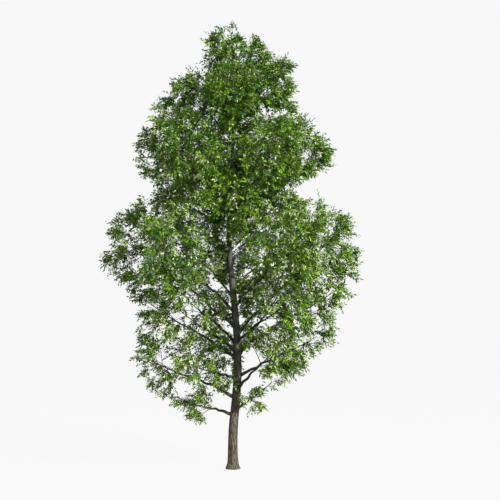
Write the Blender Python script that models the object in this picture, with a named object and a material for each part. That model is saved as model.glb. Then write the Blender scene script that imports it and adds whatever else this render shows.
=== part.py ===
"""A grown poplar standing on level ground: a trunk, its boughs and its masses of foliage.

Metres, +Z up, +X east, +Y north. The origin is the middle of the flat cut at ground level.
Each bough is a tapering limb that ends where it enters a mass. Each mass is one stem with
twigs and leaves fused on, where a leaf stands for a whole spray, and keeps to its own space.
"""

import math
import random
from collections import namedtuple

import bmesh
import bpy
from mathutils import Vector
from mathutils.bvhtree import BVHTree

# --- Trunk: (height, east, north, radius) of the places where its line or taper changes
TRUNK_LINE = (
    (0.0, 0.00, 0.00, 0.232),
    (1.8, 0.02, 0.02, 0.210),
    (3.2, 0.15, 0.05, 0.198),
    (4.6, 0.22, 0.04, 0.182),
    (6.5, 0.15, -0.04, 0.158),
    (8.4, -0.02, -0.06, 0.140),
    (10.2, -0.16, 0.00, 0.112),
    (12.5, -0.10, 0.08, 0.084),
    (15.0, 0.06, 0.05, 0.054),
    (17.1, 0.14, 0.00, 0.026),
)
TRUNK_SIDES = 12
TRUNK_STEP = 0.9  # height between rings above the root flare
FLARE_HEIGHTS = (0.0, 0.12, 0.28, 0.55)  # rings of the root flare
FLARE_WIDTH = 0.34  # how much wider the foot is than the trunk above it
FLARE_FADE = 0.24  # height in which the flare falls to a third
BUTTRESSES = 5
BUTTRESS_DEPTH = 0.11

# --- Boughs
BOUGH_SIDES = 5
BOUGH_RINGS = 5
BOUGH_TO_TRUNK = 0.42  # a bough's foot against the trunk's radius there
BOUGH_TAPER = 0.48  # a bough's tip against its foot
BOUGH_ARCH = 0.03  # how far a bough arches over the straight line, against its length
COLLAR = 1.35  # the swelling where a bough leaves the trunk
COLLAR_SHARE = 0.25  # the share of the bough that it fades over
BOUGH_ENTRY = 0.85  # where a bough ends, from the middle of its mass to its outside
CLEARANCE = 0.0003  # the gap between pieces that touch

# --- Masses of foliage, in tiers from the top down. A tier has the height of its middle, how
# much higher its east side lies, and the half width and half height of its masses. Each mass
# stands in a compass direction, at a distance out from the origin's plumb line, and its limb
# leaves the trunk at a foot height. A limb is a bough with the mass at its tip, or the stem of
# the mass itself where the foliage hides it.
Tier = namedtuple("Tier", "name up tilt across tall on_boughs spots")
Mass = namedtuple("Mass", "name middle across tall foot on_bough")
COMPASS = {
    "middle": 0,
    "east": 0,
    "northeast": 55,
    "north": 90,
    "northwest": 125,
    "west": 180,
    "southwest": 230,
    "south": 270,
    "southeast": 310,
}
TIERS = (
    Tier("top", 18.45, 0.0, 1.50, 1.60, False, {"middle": (0.00, 17.1)}),
    Tier("head", 16.75, 0.25, 1.55, 1.75, False, {
        "west": (1.75, 14.9), "east": (1.60, 15.4),
        "south": (1.75, 14.5), "north": (1.85, 14.2),
    }),
    Tier("shoulder", 14.30, -0.20, 1.62, 1.95, True, {
        "west": (2.85, 11.9), "southwest": (2.80, 12.3), "southeast": (2.85, 11.5),
        "east": (3.00, 10.4), "northeast": (2.95, 11.8), "northwest": (2.95, 12.7),
    }),
    Tier("neck", 12.10, 0.0, 1.62, 1.65, False, {
        "west": (2.50, 10.8), "east": (2.20, 9.8),
        "south": (2.20, 10.9), "north": (2.35, 10.6),
    }),
    Tier("wide", 9.95, 0.10, 1.72, 2.25, True, {
        "west": (4.25, 6.3), "southwest": (4.00, 7.0), "southeast": (3.95, 7.3),
        "east": (4.05, 6.0), "northeast": (3.75, 7.9), "northwest": (3.70, 7.7),
    }),
    Tier("low", 7.45, 0.25, 1.55, 1.65, True, {
        "west": (3.30, 4.9), "southwest": (3.30, 5.2), "southeast": (3.40, 5.7),
        "east": (4.05, 5.3), "northeast": (3.60, 5.0), "northwest": (3.45, 5.6),
    }),
    Tier("skirt", 5.15, 0.50, 1.42, 1.40, True, {
        "west": (3.10, 3.2), "southwest": (2.35, 4.0), "southeast": (2.65, 3.5),
        "east": (3.15, 4.1), "north": (2.40, 3.6),
    }),
    Tier("hem", 3.25, 0.30, 0.90, 1.20, True, {"west": (1.80, 2.4), "east": (1.30, 2.6)}),
)
CROWN_REACH = 5.8  # half the width of the crown
CROWN_MIDDLE = 10.5  # height of the middle of the crown
FULLNESS = 2.8  # 2 makes a mass an ellipsoid, and more makes it boxier
SPACE_GAP = 0.02  # the share of a mass's size that parts it from its neighbour's space
REACH_STEP = 0.04  # how finely the way to the edge of a space is felt out

# --- Stems, twigs and leaves
STEM_SIDES = 5
STEM_RINGS = 4
STEM_REACH = 0.55  # how far a stem runs on from the middle of its mass, against the way left
STEM_TAPER = 0.45
STEM_BEND = 0.4  # how long a stem keeps its bough's direction
STEM_TO_TRUNK = 0.6  # a stem that starts on the trunk, against the trunk's radius there
TWIG_SIDES = 3
TWIG_RADII = (0.028, 0.016)  # foot and tip
TWIG_FEET = (0.15, 0.97)  # the stretch of the stem that twigs leave from
TWIG_INWARD = -0.55  # the cosine with the way out of the crown of the most inward twig
TWIG_AHEAD = 0.75  # how far a twig's tip lies ahead of its foot, against how far aside
TWIG_CHOICES = 20  # places along the stem that a twig's foot is chosen from
TWIG_LEAST = 0.4  # a twig takes this share of the way to its tip, or more, and its leaf the rest
TWIGS_LEAST = 3
GOLDEN_ANGLE = math.radians(137.508)
LEAF_TOTAL = 575
LEAVES_ON_TWIG = 3.5  # on the average
LEAF_PLACES = (0.25, 0.94)  # the stretch of a twig that leaves spring from
LEAF_AHEAD = 0.5  # how far a leaf's middle lies ahead of its root, against how far aside
LEAF_DEPTH = 0.5  # leaves keep out of the inmost part of a mass
LEAF_LENGTH = 1.38
LEAF_SIZES = (1.0, 0.85, 0.7, 0.55)  # a leaf that finds no room is made smaller, then skipped
LEAF_MIDDLE = 0.5  # where a leaf's middle lies along it
LEAF_WIDTH = 0.8  # against its length
LEAF_WIDEST = 0.45  # where it is widest, from its root
LEAF_THICKNESS = 0.045  # at its widest place, where the rib lies over the fold
LEAF_TILT = 1.1  # how far a leaf's face strays from facing out of the crown
LEAF_OUTWARD = 0.18  # how much more a leaf is worth on the outer side of a mass
LEAF_TRIES = 18  # places that each leaf is chosen from
SEED = 20

# --- Colours and roughness
TRUNK_BARK = ((0.17, 0.145, 0.11, 1.0), 0.9)
LIMB_BARK = ((0.10, 0.095, 0.07, 1.0), 0.85)
LEAF_GREEN = ((0.09, 0.16, 0.035, 1.0), 0.55)


# --- Small tools
def clear_scene():
    for obj in list(bpy.data.objects):
        bpy.data.objects.remove(obj)


def material(name, colour, roughness):
    made = bpy.data.materials.new(name)
    made.use_nodes = True
    shader = made.node_tree.nodes["Principled BSDF"]
    shader.inputs["Base Color"].default_value = colour
    shader.inputs["Roughness"].default_value = roughness
    shader.inputs["Metallic"].default_value = 0.0
    return made


def smooth_between(rows, at):
    """The values beside the first column of rows at a place in it, on a smooth curve."""
    last = len(rows) - 2
    i = next((k for k in range(last) if at < rows[k + 1][0]), last)
    before, low = rows[max(i - 1, 0)], rows[i]
    high, after = rows[i + 1], rows[min(i + 2, last + 1)]
    span = high[0] - low[0]
    t = (at - low[0]) / span
    found = []
    for k in range(1, len(low)):
        rise_in = (high[k] - before[k]) / (high[0] - before[0]) * span
        rise_out = (after[k] - low[k]) / (after[0] - low[0]) * span
        found.append(
            (2 * t**3 - 3 * t**2 + 1) * low[k]
            + (t**3 - 2 * t**2 + t) * rise_in
            + (3 * t**2 - 2 * t**3) * high[k]
            + (t**3 - t**2) * rise_out
        )
    return found


def trunk_at(height):
    """The middle of the trunk and its radius at a height."""
    east, north, radius = smooth_between(TRUNK_LINE, height)
    return Vector((east, north, height)), radius


def arched(start, end, arch):
    """The line from start to end as a function of 0 to 1, arching over the straight one."""
    chord = end - start
    up = Vector((0, 0, 1)) - chord * (chord.z / chord.length_squared)
    rise = up * arch * chord.length

    def at(t):
        return start + chord * t + rise * 4 * t * (1 - t)

    return at


def through(points):
    """The line through some points, as a function of 0 to 1."""

    def at(t):
        place = min(max(t, 0.0), 1.0) * (len(points) - 1)
        k = min(int(place), len(points) - 2)
        return points[k].lerp(points[k + 1], place - k)

    return at


def stations(at, radius_at, count):
    """(middle, direction, radius) of evenly spaced rings along a line."""
    found = []
    for k in range(count):
        t = k / (count - 1)
        ahead = at(min(t + 0.01, 1.0)) - at(max(t - 0.01, 0.0))
        found.append((at(t), ahead.normalized(), radius_at(t)))
    return found


def skin(rings):
    """Closed mesh round rings of points: quads along it, a cap at each end, in triangles."""
    shape = bmesh.new()
    loops = [[shape.verts.new(point) for point in ring] for ring in rings]
    sides = len(loops[0])
    for low, high in zip(loops, loops[1:]):
        for k in range(sides):
            after = (k + 1) % sides
            shape.faces.new((low[k], low[after], high[after], high[k]))
    shape.faces.new(loops[0][::-1])
    shape.faces.new(loops[-1])
    bmesh.ops.triangulate(shape, faces=shape.faces)
    bmesh.ops.recalc_face_normals(shape, faces=shape.faces)
    return shape


def limb(rows, sides):
    """The mesh of a round limb through its stations, with no twist along it."""
    rings = []
    across = rows[0][1].orthogonal().normalized()
    for middle, ahead, radius in rows:
        across = (across - ahead * across.dot(ahead)).normalized()
        beside = ahead.cross(across)
        turns = [2 * math.pi * k / sides for k in range(sides)]
        rings.append([middle + (across * math.cos(a) + beside * math.sin(a)) * radius for a in turns])
    return skin(rings)


def as_object(name, shape, finish):
    mesh = bpy.data.meshes.new(name)
    shape.to_mesh(mesh)
    shape.free()
    mesh.materials.append(finish)
    made = bpy.data.objects.new(name, mesh)
    bpy.context.scene.collection.objects.link(made)
    return made


def combine(obj, operation, solver, other=None, collection=None):
    """A Boolean with an object or a collection."""
    joined = obj.modifiers.new(operation.title(), "BOOLEAN")
    joined.operation = operation
    joined.solver = solver
    if other:
        joined.object = other
    else:
        joined.operand_type = "COLLECTION"
        joined.collection = collection
    return joined


# --- Trunk
def trunk_shape(grown=0.0):
    """The trunk with its root flare, or a copy that is larger all round by grown."""
    line_end = TRUNK_LINE[-1][0]
    steps = round((line_end - FLARE_HEIGHTS[-1]) / TRUNK_STEP)
    rise = (line_end - FLARE_HEIGHTS[-1]) / steps
    heights = list(FLARE_HEIGHTS) + [FLARE_HEIGHTS[-1] + rise * (k + 1) for k in range(steps)]
    rings = []
    for height in heights:
        middle, radius = trunk_at(height)
        fade = math.exp(-height / FLARE_FADE)
        ring = []
        for k in range(TRUNK_SIDES):
            turn = 2 * math.pi * k / TRUNK_SIDES
            lobe = 1 + fade * (FLARE_WIDTH + BUTTRESS_DEPTH * math.cos(BUTTRESSES * turn))
            out = Vector((math.cos(turn), math.sin(turn), 0))
            ring.append(middle + out * (radius * lobe + grown))
        rings.append(ring)
    return skin(rings)


# --- The space of each mass
def all_masses():
    """The masses of every tier."""
    found = []
    for tier in TIERS:
        for spot, (out, foot) in tier.spots.items():
            turn = math.radians(COMPASS[spot])
            up = tier.up + tier.tilt * math.cos(turn)
            middle = Vector((out * math.cos(turn), out * math.sin(turn), up))
            name = f"{tier.name}_{spot}"
            found.append(Mass(name, middle, tier.across, tier.tall, foot, tier.on_boughs))
    return found


MASSES = all_masses()


def depth_in(mass, point):
    """0 in the middle of a mass and 1 on its outer surface."""
    way = point - mass.middle
    shares = (way.x / mass.across, way.y / mass.across, way.z / mass.tall)
    return sum(abs(share) ** FULLNESS for share in shares) ** (1 / FULLNESS)


def owns(mass, point):
    """Whether a point lies in the space that a mass keeps to."""
    depth = depth_in(mass, point)
    if depth > 1:
        return False
    others = (other for other in MASSES if other is not mass)
    return all(depth + SPACE_GAP < depth_in(other, point) for other in others)


def reach(mass, direction):
    """How far the middle of a mass is from the edge of its space in a direction."""
    run = 0.0
    while owns(mass, mass.middle + direction * (run + REACH_STEP)):
        run += REACH_STEP
    return run


def way_out(mass):
    """The direction in which a mass looks out of the crown."""
    flat = Vector((mass.middle.x, mass.middle.y, 0)) / CROWN_REACH
    return (flat + Vector((0, 0, mass.middle.z / CROWN_MIDDLE - 1))).normalized()


# --- Boughs
def bough_rows(mass):
    """The stations of a bough, from inside the trunk to where it enters its mass."""
    start, trunk_radius = trunk_at(mass.foot)
    toward = (start - mass.middle).normalized()
    entry = mass.middle + toward * reach(mass, toward) * BOUGH_ENTRY

    def radius_at(t):
        collar = (COLLAR - 1) * max(0.0, 1 - t / COLLAR_SHARE) ** 2
        return trunk_radius * BOUGH_TO_TRUNK * (1 - (1 - BOUGH_TAPER) * t) * (1 + collar)

    return stations(arched(start, entry, BOUGH_ARCH), radius_at, BOUGH_RINGS)


# --- Stems
def stem_line(mass):
    """The line of a mass's stem as a function of 0 to 1, and its direction and radius there."""
    start, radius = trunk_at(mass.foot)
    if mass.on_bough:
        start, ahead, radius = bough_rows(mass)[-1]
    elif mass.foot == TRUNK_LINE[-1][0]:
        ahead = Vector((0, 0, 1))
    else:
        ahead = (mass.middle - start).normalized()
        radius *= STEM_TO_TRUNK
    start = start + ahead * CLEARANCE
    onward = (mass.middle - start).normalized()
    end = mass.middle + onward * reach(mass, onward) * STEM_REACH
    bend = start + ahead * (end - start).length * STEM_BEND
    places = [k / (STEM_RINGS - 1) for k in range(STEM_RINGS)]
    points = [start * (1 - t) ** 2 + bend * 2 * t * (1 - t) + end * t**2 for t in places]
    return through(points), ahead, radius


def stem_rows(mass):
    at, ahead, radius = stem_line(mass)
    rows = stations(at, lambda t: radius * (1 - (1 - STEM_TAPER) * t), STEM_RINGS)
    rows[0] = (rows[0][0], ahead, radius)
    return rows


# --- What has grown so far
def ball_round(shape):
    """The middle and radius of a ball round a shape."""
    middle = sum((v.co for v in shape.verts), Vector()) / len(shape.verts)
    return middle, max((v.co - middle).length for v in shape.verts)


class Growth:
    """Everything that has been placed so far, so that what comes next keeps clear of it."""

    def __init__(self):
        self.placed = []
        self.leaf_middles = []

    def add(self, name, shape):
        middle, radius = ball_round(shape)
        self.placed.append((name, middle, radius, BVHTree.FromBMesh(shape)))

    def add_leaf(self, name, shape):
        self.add(name, shape)
        self.leaf_middles.append(ball_round(shape)[0])

    def touches(self, shape, but):
        """Whether a shape meets anything but the piece that it grows from."""
        middle, radius = ball_round(shape)
        tree = BVHTree.FromBMesh(shape)
        for name, other_middle, other_radius, other in self.placed:
            near = (middle - other_middle).length < radius + other_radius
            if near and name != but and tree.overlap(other):
                return True
        return False

    def room_at(self, point):
        """How far a point is from the nearest leaf."""
        gaps = ((point - middle).length for middle in self.leaf_middles)
        return min(gaps, default=CROWN_REACH)


# --- Twigs
Twig = namedtuple("Twig", "name foot end shape")


def even_directions(count, axis, turn):
    """Directions spread evenly over a ball, from an axis back to the side turned from it."""
    across = axis.orthogonal().normalized()
    beside = axis.cross(across)
    found = []
    for k in range(count):
        ahead = 1 - (1 - TWIG_INWARD) * k / (count - 1)
        aside = math.sqrt(1 - ahead * ahead)
        flat = across * math.cos(turn) + beside * math.sin(turn)
        found.append(axis * ahead + flat * aside)
        turn += GOLDEN_ANGLE
    return found


def twig_foot(at, tip):
    """The place on a stem from which a twig to a tip leaves at the usual slant."""
    first, last = TWIG_FEET

    def strain(t):
        way = tip - at(t)
        ahead = (at(t + 0.01) - at(t - 0.01)).normalized()
        forward = way.dot(ahead)
        return abs(forward - (way - ahead * forward).length * TWIG_AHEAD)

    choices = [first + (last - first) * k / TWIG_CHOICES for k in range(TWIG_CHOICES + 1)]
    return at(min(choices, key=strain))


def grow_twig(mass, growth, foot, tip, name):
    """A twig that leaves the last stretch to its tip to a leaf, or None where it finds no room."""
    way = tip - foot
    ahead = way.normalized()
    end = tip - ahead * min(LEAF_LENGTH, way.length * (1 - TWIG_LEAST))
    shape = limb([(foot, ahead, TWIG_RADII[0]), (end, ahead, TWIG_RADII[1])], TWIG_SIDES)
    if growth.touches(shape, but=f"foliage_{mass.name}_stem"):
        shape.free()
        return None
    growth.add(name, shape)
    return Twig(name, foot, end, shape)


# --- Leaves
def leaf_shape(root, along, face, length):
    """A blade in its diamond outline, folded down on both sides of the edge that is its rib."""
    side = along.cross(face) * LEAF_WIDTH / 2 * length
    shoulder = root + along * LEAF_WIDEST * length - face * LEAF_THICKNESS
    outline = (root, shoulder + side, root + along * length, shoulder - side)
    shape = bmesh.new()
    foot, left, tip, right = [shape.verts.new(point) for point in outline]
    for corners in ((foot, left, tip), (foot, tip, right), (foot, right, left), (tip, left, right)):
        shape.faces.new(corners)
    bmesh.ops.recalc_face_normals(shape, faces=shape.faces)
    return shape


def random_vector(rng):
    return Vector([rng.uniform(-1, 1) for _ in range(3)])


def place_on(twig, target):
    """The nearest place on a twig to a target, 0 to 1, and how far away the target is."""
    way = twig.end - twig.foot
    place = (target - twig.foot).dot(way) / way.length_squared
    nearest = twig.foot + way * min(max(place, 0.0), 1.0)
    return place, (target - nearest).length


def leaf_toward(mass, growth, twigs, target, rng):
    """A leaf from one of the two nearest twigs toward a target, or None where none has room."""
    for twig in sorted(twigs, key=lambda twig: place_on(twig, target)[1])[:2]:
        place, aside = place_on(twig, target)
        place -= aside * LEAF_AHEAD / (twig.end - twig.foot).length
        root = twig.foot.lerp(twig.end, min(max(place, LEAF_PLACES[0]), LEAF_PLACES[1]))
        along = (target - root).normalized()
        for size in LEAF_SIZES:
            if not owns(mass, root + along * size * LEAF_LENGTH):
                continue
            below = Vector((0, 0, mass.middle.z - mass.tall))
            face = (root - below).normalized() + random_vector(rng) * LEAF_TILT
            face = (face - along * face.dot(along)).normalized()
            leaf = leaf_shape(root, along, face, size * LEAF_LENGTH)
            inside = all(owns(mass, corner.co) for corner in leaf.verts)
            if inside and not growth.touches(leaf, but=twig.name):
                return leaf
            leaf.free()
    return None


def end_leaf(mass, growth, twig, rng):
    """The leaf that carries a twig on to its tip."""
    ahead = (twig.end - twig.foot).normalized()
    return leaf_toward(mass, growth, [twig], twig.end + ahead * LEAF_LENGTH * LEAF_MIDDLE, rng)


def roomiest_leaf(mass, growth, twigs, rng):
    """A leaf where its mass has the most room for one, the sooner if it looks outward."""
    size = Vector((mass.across, mass.across, mass.tall))
    targets = []
    while len(targets) < LEAF_TRIES:
        target = mass.middle + random_vector(rng) * size
        if owns(mass, target) and depth_in(mass, target) > LEAF_DEPTH:
            targets.append(target)

    def worth(target):
        return growth.room_at(target) + (target - mass.middle).dot(way_out(mass)) * LEAF_OUTWARD

    for target in sorted(targets, key=worth, reverse=True):
        leaf = leaf_toward(mass, growth, twigs, target, rng)
        if leaf:
            return leaf
    return None


# --- Masses
def grow_mass(mass, growth, wanted):
    """The shapes of a mass's twigs and leaves, which start with a leaf at each twig's end."""
    name = "foliage_" + mass.name
    rng = random.Random(SEED + MASSES.index(mass))
    at, _, _ = stem_line(mass)
    count = max(TWIGS_LEAST, round(wanted / LEAVES_ON_TWIG))
    twigs = []
    for direction in even_directions(count, way_out(mass), rng.uniform(0, 2 * math.pi)):
        tip = mass.middle + direction * reach(mass, direction)
        twig = grow_twig(mass, growth, twig_foot(at, tip), tip, f"{name}_twig{len(twigs)}")
        if twig:
            twigs.append(twig)
    leaves = []
    for k in range(round(wanted)):
        leaf = end_leaf(mass, growth, twigs[k], rng) if k < len(twigs) else None
        leaf = leaf or roomiest_leaf(mass, growth, twigs, rng)
        if leaf:
            growth.add_leaf(f"{name}_leaf{k}", leaf)
            leaves.append(leaf)
    return [twig.shape for twig in twigs] + leaves


def fuse(body, shapes, finish, cutter):
    """Cut a stem clear of the trunk where it starts there, and join twigs and leaves to it."""
    bpy.context.view_layer.objects.active = body
    if cutter:
        combine(body, "DIFFERENCE", "EXACT", other=cutter)
        bpy.ops.object.modifier_apply(modifier="Difference")
    pieces = bpy.data.collections.new(body.name + "_pieces")
    for k, shape in enumerate(shapes):
        pieces.objects.link(as_object(f"{body.name}_piece{k}", shape, finish))
    # The exact solver drops some of the leaves
    combine(body, "UNION", "MANIFOLD", collection=pieces)
    bpy.ops.object.modifier_apply(modifier="Union")
    for piece in list(pieces.objects):
        bpy.data.meshes.remove(piece.data)
    bpy.data.collections.remove(pieces)


def main():
    clear_scene()
    trunk_bark = material("trunk_bark", *TRUNK_BARK)
    limb_bark = material("limb_bark", *LIMB_BARK)
    green = material("leaf_green", *LEAF_GREEN)

    growth = Growth()
    trunk = trunk_shape()
    growth.add("trunk", trunk)
    as_object("trunk", trunk, trunk_bark)
    wider = trunk_shape(CLEARANCE / math.cos(math.pi / TRUNK_SIDES))
    cutter = as_object("trunk_clearance", wider, trunk_bark)
    cutter.hide_render = True
    cutter.display_type = "WIRE"

    stems = []
    for mass in MASSES:
        if mass.on_bough:
            shape = limb(bough_rows(mass), BOUGH_SIDES)
            growth.add("bough_" + mass.name, shape)
            bough = as_object("bough_" + mass.name, shape, limb_bark)
            combine(bough, "DIFFERENCE", "EXACT", other=cutter)
        stem = limb(stem_rows(mass), STEM_SIDES)
        growth.add(f"foliage_{mass.name}_stem", stem)
        stems.append(as_object("foliage_" + mass.name, stem, green))

    outsides = sum(mass.across * mass.tall for mass in MASSES)
    for mass, stem in zip(MASSES, stems):
        wanted = LEAF_TOTAL * mass.across * mass.tall / outsides
        shapes = grow_mass(mass, growth, wanted)
        from_trunk = not mass.on_bough and mass.foot < TRUNK_LINE[-1][0]
        fuse(stem, shapes, green, cutter if from_trunk else None)


main()
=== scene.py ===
"""A grown poplar in full leaf, standing alone on level ground.

Bark with its relief covers the trunk and the boughs. Branches fork off the boughs' own wood,
twigs off the branches and shoots off the twigs, and each shoot carries a spray of leaves.
Metres, +Z up, +X east, +Y north.
"""

import math
from collections import namedtuple

import bpy
import numpy as np
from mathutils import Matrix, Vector


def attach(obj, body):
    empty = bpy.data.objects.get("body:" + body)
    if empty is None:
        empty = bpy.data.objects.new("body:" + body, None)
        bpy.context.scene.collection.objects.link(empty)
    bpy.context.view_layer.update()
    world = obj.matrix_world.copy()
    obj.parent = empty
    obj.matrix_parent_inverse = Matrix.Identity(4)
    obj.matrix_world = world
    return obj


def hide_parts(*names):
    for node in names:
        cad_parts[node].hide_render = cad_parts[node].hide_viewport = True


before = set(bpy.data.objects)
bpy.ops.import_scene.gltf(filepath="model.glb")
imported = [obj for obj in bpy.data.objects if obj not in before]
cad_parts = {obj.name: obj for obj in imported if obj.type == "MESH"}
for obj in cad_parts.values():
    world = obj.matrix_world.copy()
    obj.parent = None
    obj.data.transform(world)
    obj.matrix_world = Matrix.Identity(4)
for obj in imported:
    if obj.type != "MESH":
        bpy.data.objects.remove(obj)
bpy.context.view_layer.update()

# --- Trunk
# The one stem of a poplar, of pale soft wood under thick grey-brown bark. The bark is parted into
# long plates by cracks, deep near the ground and shallow toward the top. It grows out of the
# ground at a flared foot with five buttresses, and is cut level there.
TRUNK_LINE = (  # height, east, north and radius where its line or taper changes
    (0.0, 0.00, 0.00, 0.232),
    (1.8, 0.02, 0.02, 0.210),
    (3.2, 0.15, 0.05, 0.198),
    (4.6, 0.22, 0.04, 0.182),
    (6.5, 0.15, -0.04, 0.158),
    (8.4, -0.02, -0.06, 0.140),
    (10.2, -0.16, 0.00, 0.112),
    (12.5, -0.10, 0.08, 0.084),
    (15.0, 0.06, 0.05, 0.054),
    (17.1, 0.14, 0.00, 0.026),
)
TRUNK_TOP = TRUNK_LINE[-1][0]
TRUNK_SIDES = 24  # made four times as fine by subdivision
TRUNK_STEP = 0.2  # between its rings above the flare
FLARE_RINGS = (0.0, 0.06, 0.14, 0.24, 0.38)
FLARE_WIDTH = 0.34  # how much wider the foot is than without it
FLARE_FADE = 0.24  # height in which it falls to a third
BUTTRESSES = 5
BUTTRESS_DEPTH = 0.045
BUTTRESS_REACH = 0.3  # how far round its foot it draws the wood along
BUTTRESS_FACING = 0.97  # the cosine with its direction of the points it starts from
TRUNK_PLATE = (0.06, 0.45)  # width and length of a plate
PLATE_SWAY = (0.9, 0.9, 0.9)  # how far the lines between the plates wander, in plates
GRAIN_SHARE = 0.4  # how far the grain stands out, against the plates
TRUNK_GRAIN = 0.012  # how far the plates with their grain stand out
TRUNK_CRACK = 0.030  # depth of the cracks near the ground
CRACKS_FADE = 9.0  # height in which they fall to a third
CRACK_LEVEL = 0.15  # the share of their depth that stands out from the wood
CUT_RIM = 0.01  # there are no cracks under this height, at the cut
SHARP_EDGE = math.radians(50)
BARK_GREY = "#6f6253"
BARK_PALE = "#7a7064"
BARK_DARK = "#2f2b26"
BARK_MOSS = "#5d6350"
# the darker, greener grey of the upper trunk: partly its own upper bark and partly painted shade of
# the crown over it
UPPER_BARK_AND_SHADE = "#57594f"
TRUNK_SHADE_HEIGHTS = (3.0, 8.0)  # the heights between which its bark darkens to its upper bark and painted shade


def linear(colour):
    """An sRGB hex colour as linear red, green, blue and alpha."""
    shares = [int(colour[k : k + 2], 16) / 255 for k in (1, 3, 5)]
    return [c / 12.92 if c <= 0.04045 else ((c + 0.055) / 1.055) ** 2.4 for c in shares] + [1.0]


def add_node(finish, kind, inputs, **settings):
    """Adds a node to a material. An input is given a value, or the socket that feeds it."""
    node = finish.node_tree.nodes.new("ShaderNode" + kind)
    for name, value in settings.items():
        setattr(node, name, value)
    for name, value in inputs.items():
        if isinstance(value, bpy.types.NodeSocket):
            finish.node_tree.links.new(value, node.inputs[name])
        else:
            node.inputs[name].default_value = value
    return node


def start_finish(name, values):
    """A material that has some values on its shader's own sockets, and that shader."""
    finish = bpy.data.materials.new(name)
    finish.use_nodes = True
    shader = finish.node_tree.nodes["Principled BSDF"]
    for socket, value in values.items():
        shader.inputs[socket].default_value = value
    return finish, shader


def poplar_bark(name, coordinates, repeats, height, darker_heights, darker_colour):
    """Dry corky bark: matt grey plates with a fine grain, dark in the cracks, some green film.

    The coordinates times repeats give one plate for each whole number, and height is how far
    the plates stand out. Between the two darker_heights the bark turns to darker_colour, which on
    the trunk is partly its greener upper bark and partly painted shade of the crown.
    """
    dry = {"Roughness": 0.92, "IOR": 1.45, "Specular IOR Level": 0.25}
    finish, shader = start_finish(name, dry)
    place = add_node(finish, "TexCoord", {})
    lie = add_node(finish, "Mapping", {"Vector": place.outputs[coordinates], "Scale": repeats})
    sway = add_node(finish, "TexNoise", {"Vector": lie.outputs[0], "Scale": 0.8, "Detail": 2.0})
    wander = add_node(
        finish, "VectorMath", {0: sway.outputs["Color"], 1: PLATE_SWAY, 2: lie.outputs[0]},
        operation="MULTIPLY_ADD",
    )
    cells = add_node(
        finish, "TexVoronoi", {"Vector": wander.outputs[0], "Scale": 1.0},
        feature="DISTANCE_TO_EDGE",
    )
    ridge = add_node(finish, "MapRange", {"Value": cells.outputs["Distance"], "From Max": 0.2})
    grain = add_node(
        finish, "TexNoise",
        {"Vector": lie.outputs[0], "Scale": 4.0, "Detail": 6.0, "Roughness": 0.65},
    )
    cloud = add_node(
        finish, "TexNoise", {"Vector": place.outputs["Object"], "Scale": 1.1, "Detail": 3.0}
    )
    film = add_node(
        finish, "MapRange", {"Value": cloud.outputs["Fac"], "From Min": 0.48, "From Max": 0.75}
    )
    lift = add_node(finish, "SeparateXYZ", {"Vector": place.outputs["Object"]})
    # painted shade: the bark darkens between two heights, on the trunk partly for its greener upper
    # bark and partly as shade of the crown
    darkening = add_node(
        finish, "MapRange", {"Value": lift.outputs["Z"], "From Min": darker_heights[0], "From Max": darker_heights[1]}
    )
    colouring = None
    for share, *colours in (  # None stands for what was mixed before
        (grain.outputs["Fac"], BARK_GREY, BARK_PALE),
        (film.outputs[0], None, BARK_MOSS),
        (ridge.outputs[0], BARK_DARK, None),
        (darkening.outputs[0], None, darker_colour),
    ):
        first, second = (linear(colour) if colour else colouring for colour in colours)
        inputs = {"Fac": share, "Color1": first, "Color2": second}
        colouring = add_node(finish, "MixRGB", inputs).outputs[0]
    relief = add_node(
        finish, "Math",
        {0: grain.outputs["Fac"], 1: GRAIN_SHARE, 2: ridge.outputs[0]}, operation="MULTIPLY_ADD",
    )
    bump = add_node(
        finish, "Bump", {"Height": relief.outputs[0], "Strength": 0.8, "Distance": height}
    )
    finish.node_tree.links.new(colouring, shader.inputs["Base Color"])
    finish.node_tree.links.new(bump.outputs[0], shader.inputs["Normal"])
    return finish


def smooth_between(rows, at):
    """The values beside the first column of rows at a place in it, on a smooth curve."""
    last = len(rows) - 2
    i = next((k for k in range(last) if at < rows[k + 1][0]), last)
    before, low = rows[max(i - 1, 0)], rows[i]
    high, after = rows[i + 1], rows[min(i + 2, last + 1)]
    span = high[0] - low[0]
    t = (at - low[0]) / span
    found = []
    for k in range(1, len(low)):
        rise_in = (high[k] - before[k]) / (high[0] - before[0]) * span
        rise_out = (after[k] - low[k]) / (after[0] - low[0]) * span
        found.append(
            (2 * t**3 - 3 * t**2 + 1) * low[k]
            + (t**3 - 2 * t**2 + t) * rise_in
            + (3 * t**2 - 2 * t**3) * high[k]
            + (t**3 - t**2) * rise_out
        )
    return found


def trunk_at(height):
    """The middle of the trunk and its radius at a height."""
    east, north, radius = smooth_between(TRUNK_LINE, height)
    return Vector((east, north, height)), radius


def apply_modifier(piece, kind, **settings):
    """Gives a piece a modifier and applies it."""
    bpy.context.view_layer.objects.active = piece
    modifier = piece.modifiers.new("Shaped", kind)
    for name, value in settings.items():
        setattr(modifier, name, value)
    bpy.ops.object.modifier_apply(modifier=modifier.name)


def press_cracks(limb, plate, depth, ahead):
    """Presses the cracks between long plates into a limb's bark, where its group lets them."""
    width, length = plate
    bpy.ops.object.empty_add(rotation=ahead.to_track_quat("Z", "Y").to_euler())
    lie = bpy.context.object
    lie.scale = (width, width, length)
    cracks = bpy.data.textures.new("bark_cracks", "VORONOI")
    cracks.noise_scale = 1.0
    cracks.weight_1 = -1.0
    cracks.weight_2 = 1.0
    bpy.context.view_layer.update()
    apply_modifier(
        limb, "DISPLACE", texture=cracks, texture_coords="OBJECT", texture_coords_object=lie,
        strength=depth, mid_level=CRACK_LEVEL, vertex_group="cracked",
    )
    bpy.data.objects.remove(lie)
    bpy.data.textures.remove(cracks)


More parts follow.
